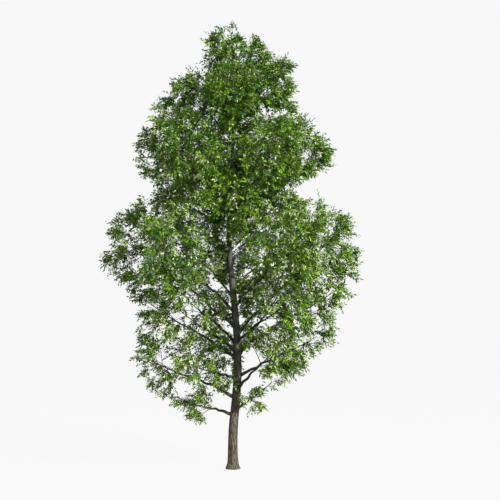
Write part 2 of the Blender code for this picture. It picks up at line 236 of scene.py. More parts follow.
def weigh(limb, weight_of):
    """Tells each point of a limb how deep the cracks are there, 0 to 1."""
    group = limb.vertex_groups.new(name="cracked")
    for vertex in limb.data.vertices:
        group.add([vertex.index], weight_of(vertex.co), "REPLACE")


def flared(height):
    """The trunk's radius with its root flare."""
    return trunk_at(height)[1] * (1 + FLARE_WIDTH * math.exp(-height / FLARE_FADE))


bpy.ops.object.select_all(action="DESELECT")
bpy.ops.mesh.primitive_circle_add(vertices=TRUNK_SIDES, radius=flared(0.0), fill_type="NGON")
trunk = bpy.context.object
trunk.name = "trunk_bark"
bpy.ops.object.mode_set(mode="EDIT")
bpy.ops.mesh.select_all(action="SELECT")
bpy.ops.transform.edge_crease(value=1.0)
trunk_steps = round((TRUNK_TOP - FLARE_RINGS[-1]) / TRUNK_STEP)
upper_rings = np.linspace(FLARE_RINGS[-1], TRUNK_TOP, trunk_steps + 1)[1:]
trunk_heights = [*FLARE_RINGS, *upper_rings.tolist()]
for lower, upper in zip(trunk_heights, trunk_heights[1:]):
    middle = trunk_at(upper)[0]
    bpy.ops.mesh.extrude_region_move(TRANSFORM_OT_translate={"value": middle - trunk_at(lower)[0]})
    growth = flared(upper) / flared(lower)
    bpy.ops.transform.resize(value=(growth, growth, 1), center_override=middle)
for k in range(BUTTRESSES):
    turn = 2 * math.pi * k / BUTTRESSES
    out = Vector((math.cos(turn), math.sin(turn), 0))
    bpy.ops.mesh.select_all(action="DESELECT")
    bpy.ops.object.mode_set(mode="OBJECT")
    for vertex in trunk.data.vertices:
        facing = vertex.co.normalized().dot(out) > BUTTRESS_FACING
        vertex.select = facing and vertex.co.z < FLARE_RINGS[1] / 2
    bpy.ops.object.mode_set(mode="EDIT")
    bpy.ops.transform.translate(
        value=out * BUTTRESS_DEPTH, use_proportional_edit=True, proportional_size=BUTTRESS_REACH
    )
bpy.ops.mesh.select_all(action="SELECT")
bpy.ops.mesh.normals_make_consistent(inside=False)
bpy.ops.object.mode_set(mode="OBJECT")
apply_modifier(trunk, "SUBSURF", levels=2, render_levels=2)
weigh(trunk, lambda at: math.exp(-at.z / CRACKS_FADE) if at.z > CUT_RIM else 0.0)
press_cracks(trunk, TRUNK_PLATE, TRUNK_CRACK, Vector((0, 0, 1)))
bpy.ops.object.shade_smooth_by_angle(angle=SHARP_EDGE)
TRUNK_REPEATS = (1 / TRUNK_PLATE[0], 1 / TRUNK_PLATE[0], 1 / TRUNK_PLATE[1])
# its bark darkens up the trunk, partly its upper bark and partly painted shade of the crown
trunk_bark = poplar_bark(
    "corky_trunk_bark", "Object", TRUNK_REPEATS, TRUNK_GRAIN, TRUNK_SHADE_HEIGHTS, UPPER_BARK_AND_SHADE
)
trunk.data.materials.append(trunk_bark)
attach(trunk, "root")
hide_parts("trunk")

# --- Boughs
# Tapering limbs of the same wood, each with a collar where it leaves the trunk. They rise at a
# slant and arch a little. Past its bough's tip the wood runs on as the stem of a mass of foliage,
# and the masses in the thick of the crown stand on a stem off the trunk itself.
Tier = namedtuple("Tier", "name up tilt across tall on_boughs spots")
Mass = namedtuple("Mass", "tier name middle size foot on_bough")
COMPASS = {  # in degrees from the east, by way of the north
    "middle": 0, "east": 0, "northeast": 55, "north": 90, "northwest": 125,
    "west": 180, "southwest": 230, "south": 270, "southeast": 310,
}
TIERS = (  # each spot: how far out its mass stands, and how high its limb leaves the trunk
    Tier("top", 18.45, 0.0, 1.50, 1.60, False, {"middle": (0.00, 17.1)}),
    Tier("head", 16.75, 0.25, 1.55, 1.75, False, {
        "west": (1.75, 14.9), "east": (1.60, 15.4),
        "south": (1.75, 14.5), "north": (1.85, 14.2),
    }),
    Tier("shoulder", 14.30, -0.20, 1.62, 1.95, True, {
        "west": (2.85, 11.9), "southwest": (2.80, 12.3), "southeast": (2.85, 11.5),
        "east": (3.00, 10.4), "northeast": (2.95, 11.8), "northwest": (2.95, 12.7),
    }),
    Tier("neck", 12.10, 0.0, 1.62, 1.65, False, {
        "west": (2.50, 10.8), "east": (2.20, 9.8),
        "south": (2.20, 10.9), "north": (2.35, 10.6),
    }),
    Tier("wide", 9.95, 0.10, 1.72, 2.25, True, {
        "west": (4.25, 6.3), "southwest": (4.00, 7.0), "southeast": (3.95, 7.3),
        "east": (4.05, 6.0), "northeast": (3.75, 7.9), "northwest": (3.70, 7.7),
    }),
    Tier("low", 7.45, 0.25, 1.55, 1.65, True, {
        "west": (3.30, 4.9), "southwest": (3.30, 5.2), "southeast": (3.40, 5.7),
        "east": (4.05, 5.3), "northeast": (3.60, 5.0), "northwest": (3.45, 5.6),
    }),
    Tier("skirt", 5.15, 0.50, 1.42, 1.40, True, {
        "west": (3.10, 3.2), "southwest": (2.35, 4.0), "southeast": (2.65, 3.5),
        "east": (3.15, 4.1), "north": (2.40, 3.6),
    }),
    Tier("hem", 3.25, 0.30, 0.90, 1.20, True, {"west": (1.80, 2.4), "east": (1.30, 2.6)}),
)
CROWN_REACH = 5.8  # half the width of the crown
CROWN_MIDDLE = 10.5  # the height of its middle
FULLNESS = 2.8  # 2 makes a mass an ellipsoid, and more makes it boxier
SPACE_GAP = 0.02  # the share of its size that parts a mass from its neighbours
REACH_STEP = 0.04  # how finely the edge of a space is felt out
SEED = 20
BOUGH_TO_TRUNK = 0.42  # its foot against the trunk's radius there
STEM_TO_TRUNK = 0.5  # the same for a stem off the trunk
BOUGH_TAPER = 0.48
BOUGH_ARCH = 0.03  # how far it arches over the straight line, against its length
BOUGH_ENTRY = 0.85  # where it ends, from the middle of its mass to its outside
COLLAR = 1.35  # a bough's swelling where it leaves the trunk
COLLAR_SHARE = 0.25  # the share of the bough that it fades over
STEM_REACH = 0.55  # how far it runs on past its mass's middle, against the way left
STEM_TAPER = 0.4
STEM_BEND = 0.4  # how long it keeps its bough's direction
BOUGH_POINTS = 9
STEM_POINTS = 5
BOUGH_WANDER = 0.011  # how far it strays from its smooth line, against its length
WANDER_GROWS = 6  # it strays in full from a sixth of its length
BOUGH_PLATE = (0.035, 0.22)
BOUGH_CRACK = 0.008
BOUGH_GRAIN = 0.005
BOUGH_REPEATS = (1 / 0.16, 1 / 0.05, 1.0)  # plates round a limb and along it, on its UV map
LIMBS_DARKEN_HEIGHTS = (-3.0, 5.0)  # the heights between which their bark darkens to LIMB_BARK
LIMB_BARK = "#45473f"


def all_masses():
    """The masses of every tier."""
    found = []
    for tier in TIERS:
        for spot, (out, foot) in tier.spots.items():
            turn = math.radians(COMPASS[spot])
            up = tier.up + tier.tilt * math.cos(turn)
            middle = np.array((out * math.cos(turn), out * math.sin(turn), up))
            size = np.array((tier.across, tier.across, tier.tall))
            found.append(Mass(tier.name, f"{tier.name}_{spot}", middle, size, foot, tier.on_boughs))
    return found


MASSES = all_masses()
MIDDLES = np.array([mass.middle for mass in MASSES])
SIZES = np.array([mass.size for mass in MASSES])


def unit(vectors):
    """Vectors at a length of 1."""
    return vectors / np.linalg.norm(vectors, axis=-1, keepdims=True)


def depths(points):
    """How far out each point lies in each mass: 0 in its middle and 1 on its outside."""
    shares = np.abs((points[..., None, :] - MIDDLES) / SIZES)
    return (shares**FULLNESS).sum(axis=-1) ** (1 / FULLNESS)


def owned(mass, points):
    """Whether each point lies in the space that a mass keeps to."""
    k = MASSES.index(mass)
    found = depths(points)
    own = found[..., k].copy()
    found[..., k] = np.inf
    return (own <= 1) & (own + SPACE_GAP < found.min(axis=-1))


def reach(mass, directions):
    """How far the middle of a mass is from the edge of its space in each direction."""
    runs = np.arange(1, round(2 * mass.size.max() / REACH_STEP)) * REACH_STEP
    points = mass.middle + directions[..., None, :] * runs[:, None]
    return np.argmin(owned(mass, points), axis=-1) * REACH_STEP


def way_out(mass):
    """The direction in which a mass looks out of the crown."""
    flat = np.array((mass.middle[0], mass.middle[1], 0)) / CROWN_REACH
    return unit(flat + (0, 0, mass.middle[2] / CROWN_MIDDLE - 1))


def limb_line(mass):
    """The points and radii of a limb, from inside the trunk to the end of its stem."""
    rng = np.random.default_rng(SEED + MASSES.index(mass))
    start, trunk_radius = trunk_at(mass.foot)
    start = np.array(start)
    line, radii = [], []
    radius = trunk_radius * STEM_TO_TRUNK
    ahead = unit(mass.middle - start)
    if mass.on_bough:
        entry = mass.middle - ahead * reach(mass, -ahead) * BOUGH_ENTRY
        chord = entry - start
        length = np.linalg.norm(chord)
        rise = (np.array((0, 0, 1)) - chord * chord[2] / length**2) * BOUGH_ARCH * length
        for t in np.linspace(0, 1, BOUGH_POINTS)[:-1]:
            stray = rng.normal(size=3) * BOUGH_WANDER * length * min(1, WANDER_GROWS * t)
            line.append(start + chord * t + rise * 4 * t * (1 - t) + stray)
            collar = (COLLAR - 1) * max(0.0, 1 - t / COLLAR_SHARE) ** 2
            width = trunk_radius * BOUGH_TO_TRUNK
            radii.append(width * (1 - (1 - BOUGH_TAPER) * t) * (1 + collar))
        start = entry
        radius = trunk_radius * BOUGH_TO_TRUNK * BOUGH_TAPER
        ahead = unit(chord - 4 * rise)
    elif mass.foot == TRUNK_TOP:
        ahead = np.array((0.0, 0.0, 1.0))
        radius = trunk_radius
    onward = unit(mass.middle - start)
    end = mass.middle + onward * reach(mass, onward) * STEM_REACH
    bend = start + ahead * np.linalg.norm(end - start) * STEM_BEND
    for t in np.linspace(0, 1, STEM_POINTS):
        line.append(start * (1 - t) ** 2 + bend * 2 * t * (1 - t) + end * t**2)
        radii.append(radius * (1 - (1 - STEM_TAPER) * t))
    return np.array(line), np.array(radii)


def draw_limb(name, line, radii):
    """A curve as thick as the limb along its line, made a mesh with closed ends."""
    bpy.ops.object.select_all(action="DESELECT")
    bpy.ops.curve.primitive_bezier_curve_add()
    limb = bpy.context.object
    limb.name = name
    bpy.ops.object.mode_set(mode="EDIT")
    bpy.ops.curve.select_all(action="SELECT")
    bpy.ops.curve.delete(type="VERT")
    for point in line:
        bpy.ops.curve.vertex_add(location=point)
    bpy.ops.curve.select_all(action="SELECT")
    bpy.ops.curve.handle_type_set(type="AUTOMATIC")
    bpy.ops.object.mode_set(mode="OBJECT")
    limb.data.splines[0].bezier_points.foreach_set("radius", radii)
    limb.data.bevel_depth = 1.0
    limb.data.bevel_resolution = 6
    limb.data.resolution_u = 8
    limb.data.use_fill_caps = True
    bpy.ops.object.convert(target="MESH")
    return limb


LIMBS = {mass.name: limb_line(mass) for mass in MASSES}
limb_bark = poplar_bark(
    "thin_bough_bark", "UV", BOUGH_REPEATS, BOUGH_GRAIN, LIMBS_DARKEN_HEIGHTS, LIMB_BARK
)
for tier in TIERS:
    masses = [mass for mass in MASSES if mass.tier == tier.name]
    limbs = []
    for mass in masses:
        line, radii = LIMBS[mass.name]
        limb = draw_limb("limb_" + mass.name, line, radii)
        weigh(limb, lambda at: 1.0)
        press_cracks(limb, BOUGH_PLATE, BOUGH_CRACK, Vector(line[-1] - line[0]))
        limbs.append(limb)
    bpy.ops.object.select_all(action="DESELECT")
    for limb in limbs:
        limb.select_set(True)
    bpy.context.view_layer.objects.active = limbs[0]
    if len(limbs) > 1:
        bpy.ops.object.join()
    boughs = bpy.context.object
    boughs.name = "limbs_" + tier.name
    bpy.ops.object.shade_smooth_by_angle(angle=SHARP_EDGE)
    boughs.data.materials.clear()
    boughs.data.materials.append(limb_bark)
    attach(boughs, "root")
    if tier.on_boughs:
        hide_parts(*("bough_" + mass.name for mass in masses))

# --- Branches, twigs and shoots
# The wood that carries the leaves. Branches leave a bough or stem at a slant and reach for the
# edge of their mass. Twigs fork off them, thin on the shaded side, and short ones stand on the
# trunk and boughs. This year's green shoots stand on the twigs, and hang more the lower they are.
GOLDEN_ANGLE = math.radians(137.508)
ASKEW = (0.31, 0.23, 0.92)  # a direction that no shoot is likely to take
NORTH_SLANT = (0.0, 1.0, 0.3)  # one that no mass looks out in exactly
STEEP = 0.9  # the least rise of a steep twig, against its length
UPRIGHT = 0.99
NEARLY_NONE = 1e-6  # keeps a length off zero
BRANCHES = 18  # on a large, dense mass
FEWEST_BRANCHES = 5
BRANCH_INWARD = -0.55  # the most inward one's cosine with the way out of the crown
BRANCH_AHEAD = 0.75  # how far its tip lies ahead of its foot, against how far aside
BRANCH_FEET = (0.30, 0.97)  # the stretch of a limb that they leave from
BRANCH_REACH = 0.76  # where it ends, from the middle of its mass to its outside
BRANCH_LIFT = 0.10  # how far it bows upward, against its length
BRANCH_POINTS = 5
BRANCH_SIDES = 5
BRANCH_STRAY = 0.03  # how far it strays, against its length
BRANCH_RADII = (0.010, 0.010)  # at its foot, and more for each metre of its length
BRANCH_TO_PARENT = 0.7  # its foot's radius at the most, against its limb's
BRANCH_TAPER = 0.35
STEM_FEET = 0.15  # where branches start on a stem off the trunk
FEET_TRIED = 40  # places along a limb that its foot is chosen from
DRAWN_IN = 0.8  # how near its mass a tip outside the crown is drawn each time
DRAWS = 5
TWIG_ROOM = 0.21  # cubic metres for each twig
TWIG_REACH = (0.83, 1.0)  # how far out sprays stand, and how far a few of them do
TWIG_RARITY = 5  # the higher, the fewer
EVEN_STEPS = (0.8191725, 0.6710436, 0.5497005)  # the even spread of a 3-D golden ratio
POINTS_TRIED = 4  # for each place of a twig that is wanted
SPACE_TRIED = 4000  # points that a mass's room is judged by
SHELL = 1.2  # how deep into the crown the light lets twigs grow thick
SHADED_TWIGS = 0.35  # the share of twigs further in
SPRAY_AHEAD = 0.30  # how far a spray's middle lies past its twig's tip
TWIG_FEET = (0.2, 1.0, 9)  # the stretch of a branch that they leave from, and its places
TWIG_TURN = 1.7  # how dear its length is, less the cosine of its turn off the branch
TWIG_LEAST = 0.12  # shorter ones are avoided
TWIG_BEND = 0.12  # how far it bends along its branch, against its length
TWIG_STRAY = 0.05  # how far it strays, against its length
TWIG_RADII = (0.004, 0.006)  # given as a branch's
TWIG_LIMITS = (0.005, 0.012)  # but no thinner or thicker
TWIG_TAPER = 0.4
TWIG_POINTS = 3
TWIG_SIDES = 3
LIMB_NEARBY = 0.02  # the share of a limb that tells its direction
BRANCH_NEARBY = 0.1
SPURS = 16  # short twigs on a bough, outside its mass
SPUR_LENGTHS = (0.4, 1.0)
SPUR_FEET = (0.08, 0.6)  # the stretch of a bough that they stand on
SPUR_SHIFT = 0.04  # how far a foot strays along it
SPUR_AHEAD = 0.7  # how far it leans along its limb, against how far aside
SPUR_RISE = 0.25
SPUR_STRAY = 0.06
TRUNK_TWIGS = 280
TRUNK_TWIG_HEIGHTS = (6.4, 16.8)  # the thick of the crown
TRUNK_TWIG_LENGTHS = (0.5, 1.3)
SHELTERED = 9.8  # under this height they stand on its north side
SHOOTS = 10  # on each twig
BRANCH_SHOOTS = 6  # on the outer half of each branch
SHOOT_FIRST = 0.25  # where they start on a twig, from its foot to its tip
BRANCH_SHOOT_FIRST = 0.5  # the same on a branch
SHOOT_LENGTHS = (0.28, 0.52)
SHOOT_AHEAD = 0.6  # how far a shoot leans along its twig
SHOOT_SLANT = (0.4, 1.2)  # how far it leans aside
SHOOT_FALL = 0.7  # how far it hangs
SHOOTS_OUTSIDE = 0.3  # how far outside the crown a branch's own shoots may end
SHOOT_RADIUS = 0.005
SHOOT_HANG = (18.5, 0.0, 3.0, 1.3)  # at a height, how far shoots fall for each metre outward
TWIG_BARK = "#5b5344"
SHOOT_BARK = "#6b6a48"
DENSITY = {  # the share of a full crown's twigs that each tier has
    "top": 0.95, "head": 1.0, "shoulder": 0.95, "neck": 0.95,
    "wide": 0.9, "low": 0.6, "skirt": 0.56, "hem": 0.6,
}
SPARSE = {  # the masses that are thinner than their tier
    "shoulder_west": 0.85, "shoulder_southwest": 0.85, "shoulder_northwest": 0.85,
    "wide_west": 0.7, "wide_southwest": 0.85, "wide_northwest": 0.8,
    "low_west": 0.8, "low_southwest": 0.65, "low_northwest": 0.8, "low_southeast": 0.85,
    "skirt_southeast": 0.45, "skirt_southwest": 0.5, "skirt_west": 0.7, "skirt_north": 0.3,
    "hem_east": 0.35,
}
HEM = ((1.6, 2.3), (2.6, 3.4), (3.7, 4.2), (5.6, 7.0))  # the underside: how far out, how high
HEM_TILT = 0.19  # how much it rises for each metre toward the east
CROWN_WEST = (  # how far west the middles of sprays stand, by height
    (2.0, -1.75), (2.9, -2.7), (3.5, -3.7), (4.2, -3.95), (5.2, -4.4), (6.8, -3.85),
    (7.5, -4.5), (8.4, -5.1), (9.2, -5.85), (10.0, -5.55), (11.0, -5.5), (11.6, -5.15),
    (12.0, -3.5), (12.7, -3.25), (13.4, -4.3), (14.4, -4.4), (15.2, -3.8), (16.0, -3.8),
    (16.5, -3.1), (17.0, -2.8), (17.5, -2.45), (17.6, -1.3), (18.7, -1.3), (19.3, -1.1),
    (19.4, -0.2), (19.6, -0.05),
)
CROWN_EAST = (  # how far east
    (2.6, 1.0), (3.5, 1.15), (3.8, 1.3), (4.0, 2.6), (4.3, 3.2), (5.2, 3.7), (5.6, 4.5),
    (6.5, 4.95), (7.5, 4.95), (8.4, 5.5), (9.4, 5.75), (10.6, 5.4), (11.25, 5.1), (11.6, 4.6),
    (11.85, 4.3), (12.0, 2.7), (12.5, 2.4), (12.9, 2.8), (13.4, 4.1), (14.1, 4.6), (14.6, 4.1),
    (15.4, 3.4), (15.9, 2.95), (16.4, 2.65), (17.2, 2.7), (18.0, 2.75), (18.3, 2.1), (18.7, 1.55),
    (19.05, 1.35), (19.1, 0.6), (19.5, 0.15),
)
OUTER_SPRAYS = 3.2  # sprays for each metre of the outline off the masses
OUTER_DEPTH = 1.3  # how far out of a mass they may stand
OUTER_INWARD = (0.94, 1.0)  # how far out they stand, against the outline
OUTER_THICK = 0.7  # how far north and south of its line
CLEARINGS = (  # gaps through the crown, front to back: east, height and radius
    (0.95, 4.95, 0.5), (0.75, 4.2, 0.6), (1.75, 3.75, 0.5), (1.0, 6.8, 0.4), (0.65, 8.9, 0.4),
    (1.05, 9.2, 0.25), (0.85, 7.4, 0.3), (-0.75, 8.45, 0.5), (-1.8, 7.5, 0.45), (-2.5, 6.8, 0.5),
    (-3.1, 6.3, 0.2), (-0.35, 11.1, 0.3), (0.15, 10.3, 0.3), (1.9, 11.5, 0.35),
    (-3.0, 12.75, 0.25), (5.2, 10.2, 0.25), (3.8, 5.65, 0.3), (3.1, 14.05, 0.25),
    (-3.9, 13.7, 0.25), (1.6, 6.9, 0.25), (-2.2, 3.6, 0.45), (-0.5, 3.3, 0.5), (-1.0, 2.7, 0.6),
    (-1.05, 2.15, 0.35), (0.75, 2.6, 0.5), (-0.4, 2.4, 0.5), (-0.05, 8.2, 0.3), (0.05, 7.6, 0.3),
)
THICKETS = (  # places between the masses that sprays fill: east, height and how many
    (-1.6, 5.6, 4), (-1.3, 5.3, 4), (-2.0, 5.1, 4), (-0.7, 5.9, 4), (-4.0, 4.9, 3), (-3.0, 5.9, 4),
    (-3.8, 5.8, 4), (-3.9, 7.9, 4), (-4.0, 6.8, 4), (-1.0, 19.4, 4), (1.4, 18.6, 3), (-2.0, 2.6, 2),
    (-1.8, 2.1, 1), (2.3, 16.3, 4), (3.0, 4.5, 3), (2.5, 4.6, 2), (-4.6, 11.3, 4), (3.9, 7.9, 4),
    (-1.7, 12.1, 4), (-1.8, 17.4, 3), (-2.2, 17.2, 3), (2.6, 17.9, 2),
    (3.2, 15.5, 3), (3.3, 11.7, 2), (1.1, 3.4, 3), (2.0, 4.6, 2), (1.9, 5.3, 2), (1.35, 3.0, 2),
    (0.8, 9.95, 4), (0.0, 15.7, 3), (0.1, 14.6, 3), (-0.1, 13.7, 2), (-0.25, 4.45, 1),
    (3.9, 8.5, 2), (4.8, 8.6, 2), (3.2, 5.4, 2), (-2.2, 12.45, 2),
)
THICKET_DEPTH = 1.2  # from the front to the back of each
THICKET_STRAY = 0.18
CLEARING_LEAN = 0.07  # how much clearings and thickets rise for each metre to the south
WAIST = (11.7, 12.9)  # the heights of the sprays between the shoulder and wide tiers
WAIST_OUT = (2.3, 3.7)  # how far out they stand
WAIST_SPRAYS = 80


def spokes(across, beside, sides):
    """The ways to the corners of a twig with some sides, from its middle line."""
    turns = 2 * math.pi * np.arange(sides)[:, None] / sides
    return across[..., None, :] * np.cos(turns) + beside[..., None, :] * np.sin(turns)


def tubes(lines, radii, sides):
    """Corners and triangles of closed round twigs: lines is twigs x points x 3."""
    ahead = unit(np.gradient(lines, axis=1))
    chord = unit(lines[:, -1] - lines[:, 0])
    level = np.where(np.abs(chord[:, 2:]) < STEEP, [[0.0, 0.0, 1.0]], [[1.0, 0.0, 0.0]])
    across = np.cross(chord, level)[:, None]
    across = unit(across - ahead * (ahead * across).sum(axis=-1, keepdims=True))
    beside = np.cross(ahead, across)
    corners = lines[:, :, None] + spokes(across, beside, sides) * radii[:, :, None, None]
    index = np.arange(corners.size // 3).reshape(corners.shape[:3])
    low, high = index[:, :-1], index[:, 1:]
    after_low, after_high = np.roll(low, -1, axis=2), np.roll(high, -1, axis=2)
    walls = np.stack([low, after_low, after_high, low, after_high, high], axis=-1).reshape(-1, 3)
    feet, tips = index[:, 0, ::-1], index[:, -1]
    caps = [ends[:, [0, k, k + 1]] for ends in (feet, tips) for k in range(1, sides - 1)]
    return corners.reshape(-1, 3), np.concatenate([walls, *caps])


def spikes(lines, radius):
    """Corners and triangles of three-sided shoots that taper to a point."""
    feet, tips = lines[:, 0], lines[:, -1]
    ahead = unit(tips - feet)
    across = unit(np.cross(ahead, ASKEW))
    foot = feet[:, None] + spokes(across, np.cross(ahead, across), 3) * radius
    corners = np.concatenate([foot, tips[:, None]], axis=1)
    sides = np.array([(0, 1, 3), (1, 2, 3), (2, 0, 3), (2, 1, 0)])
    triangles = np.arange(len(feet))[:, None, None] * 4 + sides
    return corners.reshape(-1, 3), triangles.reshape(-1, 3)


def joined_piece(name, corners, triangles, finishes, finish_of):
    """One piece out of many small things: finish_of gives each triangle's place in finishes."""
    mesh = bpy.data.meshes.new(name)
    mesh.vertices.add(len(corners))
    mesh.vertices.foreach_set("co", corners.astype(np.float32).ravel())
    mesh.loops.add(triangles.size)
    mesh.loops.foreach_set("vertex_index", triangles.astype(np.int32).ravel())
    mesh.polygons.add(len(triangles))
    mesh.polygons.foreach_set("loop_start", np.arange(0, triangles.size, 3, dtype=np.int32))
    for finish in finishes:
        mesh.materials.append(finish)
    mesh.polygons.foreach_set("material_index", finish_of.astype(np.int32))
    mesh.update(calc_edges=True)
    piece = bpy.data.objects.new(name, mesh)
    bpy.context.scene.collection.objects.link(piece)
    return piece


def along(line, places):
    """The points of a line at some places, 0 to 1."""
    at = np.clip(places, 0, 1) * (len(line) - 1)
    k = np.minimum(at.astype(int), len(line) - 2)
    return line[k] + (line[k + 1] - line[k]) * (at - k)[:, None]


def heading(line, places, nearby):
    """The direction of a line at some places, told from the points a little before and after."""
    return unit(along(line, places + nearby) - along(line, places - nearby))


def even_directions(count, axis, turn):
    """Directions spread evenly over a ball, from an axis back to the side turned from it."""
    ahead = 1 - (1 - BRANCH_INWARD) * np.arange(count) / (count - 1)
    aside = np.sqrt(1 - ahead**2)
    across = unit(np.cross(axis, NORTH_SLANT))
    beside = np.cross(axis, across)
    turns = turn + GOLDEN_ANGLE * np.arange(count)
    flat = across * np.cos(turns)[:, None] + beside * np.sin(turns)[:, None]
    return axis * ahead[:, None] + flat * aside[:, None]


def bowed(feet, tips, lift, points):
    """Lines from feet to tips that bow to one side by lift."""
    t = np.linspace(0, 1, points)[None, :, None]
    return feet[:, None] * (1 - t) + tips[:, None] * t + lift[:, None] * 4 * t * (1 - t)


def over_hem(points):
    """Whether each point is above the crown's underside."""
    outs, heights = zip(*HEM)
    out = np.hypot(points[:, 0], points[:, 1])
    return points[:, 2] > np.interp(out, outs, heights) + HEM_TILT * points[:, 0]


def in_crown(points, margin=0.0):
    """Whether each point is in the crown's outline, or near it, and out of its clearings."""
    x, y, z = points.T
    west, east = (np.interp(z, *zip(*side)) for side in (CROWN_WEST, CROWN_EAST))
    kept = (x > west - margin) & (x < east + margin)
    for east, up, wide in CLEARINGS:
        kept &= np.hypot(x - east, z + y * CLEARING_LEAN - up) > wide
    return kept & over_hem(points)


def outer_sprays(mass, rng):
    """The middles of sprays on the crown's outline, off the outside of a mass."""
    found = []
    for side in (CROWN_WEST, CROWN_EAST):
        heights, outs = np.array(side).T
        run = np.concatenate([[0], np.cumsum(np.hypot(np.diff(heights), np.diff(outs)))])
        at = np.arange(0, run[-1], 1 / OUTER_SPRAYS)
        x = np.interp(at, run, outs) * rng.uniform(*OUTER_INWARD, size=len(at))
        y = rng.uniform(-OUTER_THICK, OUTER_THICK, size=len(at))
        found.append(np.stack([x, y, np.interp(at, run, heights)], axis=1))
    found = np.concatenate(found)
    depth = depths(found)
    near = depth.min(axis=1)
    mine = depth.argmin(axis=1) == MASSES.index(mass)
    return found[mine & (near > TWIG_REACH[0]) & (near < OUTER_DEPTH)]


def thickets(mass):
    """The middles of the sprays of the thickets that lie nearest to a mass."""
    rng = np.random.default_rng(SEED)
    found = np.concatenate([
        [(east, y, up - y * CLEARING_LEAN) for y in np.linspace(-0.5, 0.5, sprays) * THICKET_DEPTH]
        for east, up, sprays in THICKETS
    ])
    found = found + rng.normal(size=found.shape) * THICKET_STRAY
    return found[depths(found).argmin(axis=1) == MASSES.index(mass)]


def waist_sprays(mass):
    """The middles of the sprays round the crown's waist that lie nearest to a mass."""
    rng = np.random.default_rng(SEED)
    turns = GOLDEN_ANGLE * np.arange(WAIST_SPRAYS)
    outs = rng.uniform(*WAIST_OUT, size=WAIST_SPRAYS)
    ups = rng.uniform(*WAIST, size=WAIST_SPRAYS)
    found = np.stack([outs * np.cos(turns), outs * np.sin(turns), ups], axis=1)
    return found[in_crown(found) & (depths(found).argmin(axis=1) == MASSES.index(mass))]


def thickness(mass):
    """The share of twigs that a mass has, against a full crown."""
    return DENSITY[mass.tier] * SPARSE.get(mass.name, 1.0)


def grow_branches(mass, rng):
    """The lines and radii of a mass's branches."""
    line, radii = LIMBS[mass.name]
    count = BRANCHES * thickness(mass) * (mass.size[0] / SIZES[:, 0].max()) ** 2
    directions = even_directions(
        max(FEWEST_BRANCHES, round(count)), way_out(mass), rng.uniform(0, 2 * math.pi)
    )
    tips = mass.middle + directions * (reach(mass, directions) * BRANCH_REACH)[:, None]
    for _ in range(DRAWS):
        out = ~in_crown(tips)
        tips[out] = mass.middle + (tips[out] - mass.middle) * DRAWN_IN
    first = BRANCH_FEET[0] if mass.on_bough else STEM_FEET
    places = np.linspace(first, BRANCH_FEET[1], FEET_TRIED)
    feet = along(line, places)
    ahead = heading(line, places, LIMB_NEARBY)
    way = tips[:, None] - feet
    forward = (way * ahead).sum(axis=-1)
    aside = np.linalg.norm(way - ahead * forward[..., None], axis=-1)
    best = np.abs(forward - aside * BRANCH_AHEAD).argmin(axis=1)
    foot = feet[best]
    length = np.linalg.norm(tips - foot, axis=1)
    lift = np.array((0, 0, 1)) * (BRANCH_LIFT * length)[:, None]
    lift = lift + rng.normal(size=lift.shape) * BRANCH_STRAY * length[:, None]
    lines = bowed(foot, tips, lift, BRANCH_POINTS)
    parent = np.interp(places[best], np.linspace(0, 1, len(radii)), radii)
    thick = np.minimum(parent * BRANCH_TO_PARENT, BRANCH_RADII[0] + BRANCH_RADII[1] * length)
    return lines, thick[:, None] * np.linspace(1, BRANCH_TAPER, BRANCH_POINTS)


def spread_targets(mass, count, rng):
    """Points spread evenly through a mass's space."""
    steps = np.array(EVEN_STEPS)
    tried = POINTS_TRIED * count
    found = np.zeros((0, 3))
    start = rng.uniform(size=3)
    k = 0
    while len(found) < count:
        shares = (start + steps * np.arange(k, k + tried)[:, None]) % 1 * 2 - 1
        most, few = TWIG_REACH
        far = most + (few - most) * rng.uniform(size=(tried, 1)) ** TWIG_RARITY
        points = mass.middle + shares * mass.size * far
        inside = (np.abs(shares) ** FULLNESS).sum(axis=1) < 1
        found = np.concatenate([found, points[owned(mass, points) & inside]])
        k += tried
    return found[:count]


def space_of(mass, rng):
    """The volume of a mass's space."""
    points = mass.middle + rng.uniform(-1, 1, size=(SPACE_TRIED, 3)) * mass.size
    return owned(mass, points).mean() * 8 * mass.size.prod()


def outward_at(points):
    """The level way out of the crown at each point."""
    return unit(points * (1, 1, 0) + (0, 0, NEARLY_NONE))


def hang_at(points):
    """The way shoots hang at each point: outward and down."""
    top, fall_at_top, foot, fall_at_foot = SHOOT_HANG
    fall = np.interp(points[:, 2], (foot, top), (fall_at_foot, fall_at_top))
    return outward_at(points) - np.array((0, 0, 1)) * fall[:, None]


